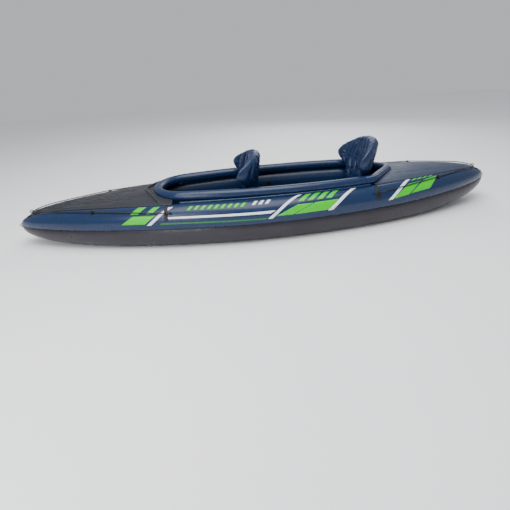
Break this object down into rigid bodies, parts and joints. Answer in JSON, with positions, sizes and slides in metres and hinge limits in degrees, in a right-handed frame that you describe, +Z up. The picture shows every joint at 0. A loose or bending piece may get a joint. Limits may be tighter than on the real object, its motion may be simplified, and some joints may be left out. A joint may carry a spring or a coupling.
{
  "type": "inflatable kayak",
  "caption": "Open two-seat inflatable kayak: stacked side air chambers meeting at both ends, raised cockpit coaming, covered ends, ribbed floor and folding seats.",
  "frame": {"origin": "on the ground under the middle of the hull, half way between the two tow tabs", "axes": "+X towards the bow, +Y to port, +Z up"},
  "size_m": [3.82, 0.93, 0.6242],
  "materials": {
    "navy_film": "satin",
    "charcoal_film": "satin",
    "black_film": "satin",
    "deck_cloth": "woven, coated",
    "deck_piping": "piped",
    "valve_plastic": "moulded",
    "seat_film": "satin",
    "hook_and_loop": "napped",
    "rope": "braided",
    "webbing": "woven",
    "grommet_metal": "plated",
    "black_plastic": "moulded"
  },
  "bodies": {
    "hull": {"bottom_skin": "charcoal_film", "bow_deck": "deck_cloth", "bow_grab_line": "rope", "bow_port_rope_guide": "black_plastic", "bow_splash_ridge": "deck_piping", "bow_starboard_rope_guide": "black_plastic", "bow_tip_plate": "black_plastic", "bow_tow_grommet": "grommet_metal", "bow_tow_tab": "black_plastic", "coaming_valve": "valve_plastic", "cockpit_coaming": "navy_film", "floor_mat": "black_film", "floor_valve": "valve_plastic", "front_port_ring": "black_plastic", "front_port_ring_strap": "webbing", "front_seat_loop_strips": "hook_and_loop", "front_starboard_ring": "black_plastic", "front_starboard_ring_strap": "webbing", "port_lower_chamber": "charcoal_film", "port_upper_chamber": "navy_film", "port_valve": "valve_plastic", "rear_port_ring": "black_plastic", "rear_port_ring_strap": "webbing", "rear_seat_loop_strips": "hook_and_loop", "rear_starboard_ring": "black_plastic", "rear_starboard_ring_strap": "webbing", "starboard_lower_chamber": "charcoal_film", "starboard_upper_chamber": "navy_film", "starboard_valve": "valve_plastic", "stern_deck": "deck_cloth", "stern_grab_line": "rope", "stern_port_rope_guide": "black_plastic", "stern_starboard_rope_guide": "black_plastic", "stern_tip_plate": "black_plastic", "stern_tow_grommet": "grommet_metal", "stern_tow_tab": "black_plastic"},
    "front_seat": {"front_seat_cushion": "seat_film", "front_seat_hook_strips": "hook_and_loop", "front_cushion_valve_stem": "valve_plastic"},
    "rear_seat": {"rear_seat_cushion": "seat_film", "rear_seat_hook_strips": "hook_and_loop", "rear_cushion_valve_stem": "valve_plastic"},
    "front_back": {"front_backrest": "seat_film", "front_backrest_valve_stem": "valve_plastic"},
    "rear_back": {"rear_backrest": "seat_film", "rear_backrest_valve_stem": "valve_plastic"},
    "port_valve_cap_body": {"port_valve_cap": "valve_plastic"},
    "starboard_valve_cap_body": {"starboard_valve_cap": "valve_plastic"},
    "coaming_valve_cap_body": {"coaming_valve_cap": "valve_plastic"},
    "floor_valve_cap_body": {"floor_valve_cap": "valve_plastic"},
    "front_cushion_plug_body": {"front_cushion_valve_plug": "valve_plastic"},
    "rear_cushion_plug_body": {"rear_cushion_valve_plug": "valve_plastic"},
    "front_backrest_plug_body": {"front_backrest_valve_plug": "valve_plastic"},
    "rear_backrest_plug_body": {"rear_backrest_valve_plug": "valve_plastic"}
  },
  "joints": [
    {"name": "front_seat_slide", "type": "slide", "parent": "hull", "child": "front_seat", "axis": [1, 0, 0], "range_m": [-0.03, 0.03]},
    {"name": "rear_seat_slide", "type": "slide", "parent": "hull", "child": "rear_seat", "axis": [1, 0, 0], "range_m": [0, 0.05]},
    {"name": "front_backrest_fold", "type": "hinge", "parent": "front_seat", "child": "front_back", "pos_m": [0.1747, 0, 0.1625], "axis": [0, 1, 0], "range_deg": [-10, 15]},
    {"name": "rear_backrest_fold", "type": "hinge", "parent": "rear_seat", "child": "rear_back", "pos_m": [-0.7153, 0, 0.1625], "axis": [0, 1, 0], "range_deg": [0, 22]},
    {"name": "port_valve_cap_turn", "type": "hinge", "parent": "hull", "child": "port_valve_cap_body", "pos_m": [-0.69, 0.22799, 0.20108], "axis": [0.1326, -0.9912, 0], "range_deg": [0, 270]},
    {"name": "starboard_valve_cap_turn", "type": "hinge", "parent": "hull", "child": "starboard_valve_cap_body", "pos_m": [-0.06, -0.27256, 0.20041], "axis": [0, 1, 0], "range_deg": [0, 270]},
    {"name": "coaming_valve_cap_turn", "type": "hinge", "parent": "hull", "child": "coaming_valve_cap_body", "pos_m": [0.29647, 0.25215, 0.32032], "axis": [-0.0938, -0.9014, -0.4226], "range_deg": [0, 270]},
    {"name": "floor_valve_cap_turn", "type": "hinge", "parent": "hull", "child": "floor_valve_cap_body", "pos_m": [0.935, 0, 0.0749], "axis": [0, 0, 1], "range_deg": [0, 270]},
    {"name": "front_cushion_plug_pull", "type": "slide", "parent": "front_seat", "child": "front_cushion_plug_body", "axis": [1, 0, 0], "range_m": [0, 0.006]},
    {"name": "rear_cushion_plug_pull", "type": "slide", "parent": "rear_seat", "child": "rear_cushion_plug_body", "axis": [1, 0, 0], "range_m": [0, 0.006]},
    {"name": "front_backrest_plug_pull", "type": "slide", "parent": "front_back", "child": "front_backrest_plug_body", "axis": [-0.9903, 0, -0.1392], "range_m": [0, 0.006]},
    {"name": "rear_backrest_plug_pull", "type": "slide", "parent": "rear_back", "child": "rear_backrest_plug_body", "axis": [-0.9659, 0, -0.2588], "range_m": [0, 0.006]}
  ]
}
